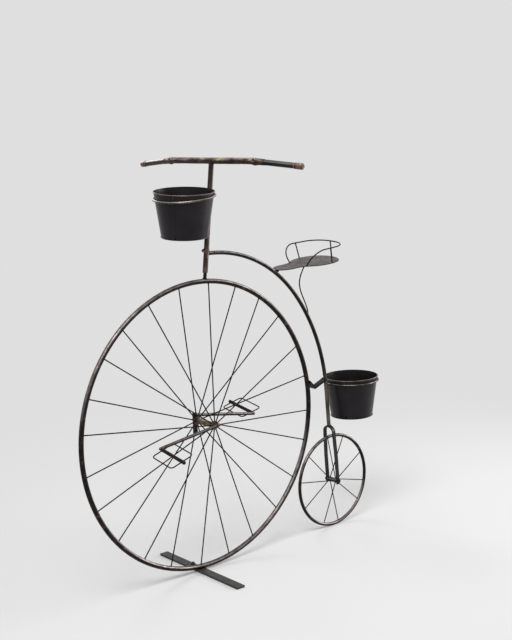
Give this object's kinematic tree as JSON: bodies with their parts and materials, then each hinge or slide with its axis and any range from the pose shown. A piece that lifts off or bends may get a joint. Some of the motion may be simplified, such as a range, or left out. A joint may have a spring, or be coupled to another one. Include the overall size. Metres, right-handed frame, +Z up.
{
  "type": "penny farthing plant stand",
  "caption": "Metal plant stand in the shape of a penny farthing: a big spoked wheel on a foot bar, a small rear wheel, pedals, a seat with a rail, and pots that lift out of rings.",
  "frame": {"origin": "on the floor, in the middle of the foot bar's underside", "axes": "+Z up, the stand faces -X with the small wheel at +X, and its left side is -Y"},
  "size_m": [0.9382, 0.5982, 1.0002],
  "materials": {
    "black_metal": "satin",
    "rubbed_copper": "satin",
    "black_grip": "satin",
    "grey_sheet": "satin",
    "pot_black": "satin"
  },
  "bodies": {
    "frame": {"front_rim": "black_metal", "front_spokes_left": "black_metal", "front_spokes_right": "black_metal", "front_hub": "rubbed_copper", "foot_bar": "black_metal", "stem_stud": "black_metal", "stem_tube": "black_metal", "handlebar": "rubbed_copper", "grip_left": "black_grip", "grip_right": "black_grip", "backbone": "black_metal", "rear_fork": "black_metal", "rear_axle": "black_metal", "rim_bracket": "black_metal", "front_ring": "black_metal", "bar_caps": "rubbed_copper", "rear_ring": "black_metal", "seat_plate": "grey_sheet", "seat_rail": "black_metal", "seat_posts": "black_metal", "seat_strut": "black_metal"},
    "crank": {"crank_axle": "black_metal", "crank_arm_left": "black_metal", "crank_arm_right": "black_metal", "pedal_spindle_left": "black_metal", "pedal_spindle_right": "black_metal"},
    "pedal_left": {"pedal_tube_left": "black_metal", "pedal_loop_left": "black_metal"},
    "pedal_right": {"pedal_tube_right": "black_metal", "pedal_loop_right": "black_metal"},
    "rear_wheel": {"rear_rim": "black_metal", "rear_hub": "black_metal", "rear_spokes": "black_metal"},
    "front_pot": {"front_pot": "pot_black"},
    "rear_pot": {"rear_pot": "pot_black"}
  },
  "joints": [
    {"name": "crank_turn", "type": "hinge", "parent": "frame", "child": "crank", "pos_m": [0.037, 0, 0.365], "axis": [0, 1, 0], "continuous": true},
    {"name": "left_pedal_turn", "type": "hinge", "parent": "crank", "child": "pedal_left", "pos_m": [-0.1325, -0.042, 0.3444], "axis": [0.031, 0.9855, 0.1668], "continuous": true},
    {"name": "right_pedal_turn", "type": "hinge", "parent": "crank", "child": "pedal_right", "pos_m": [0.2265, 0.042, 0.345], "axis": [-0.0171, 0.9815, 0.1908], "continuous": true},
    {"name": "rear_wheel_turn", "type": "hinge", "parent": "frame", "child": "rear_wheel", "pos_m": [0.4589, 0, 0.125], "axis": [0, 1, 0], "continuous": true},
    {"name": "front_pot_lift", "type": "slide", "parent": "frame", "child": "front_pot", "axis": [-0.0249, -0.0817, 0.9963], "range_m": [0, 0.12]},
    {"name": "rear_pot_lift", "type": "slide", "parent": "frame", "child": "rear_pot", "axis": [0, 0, 1], "range_m": [0, 0.12]}
  ]
}
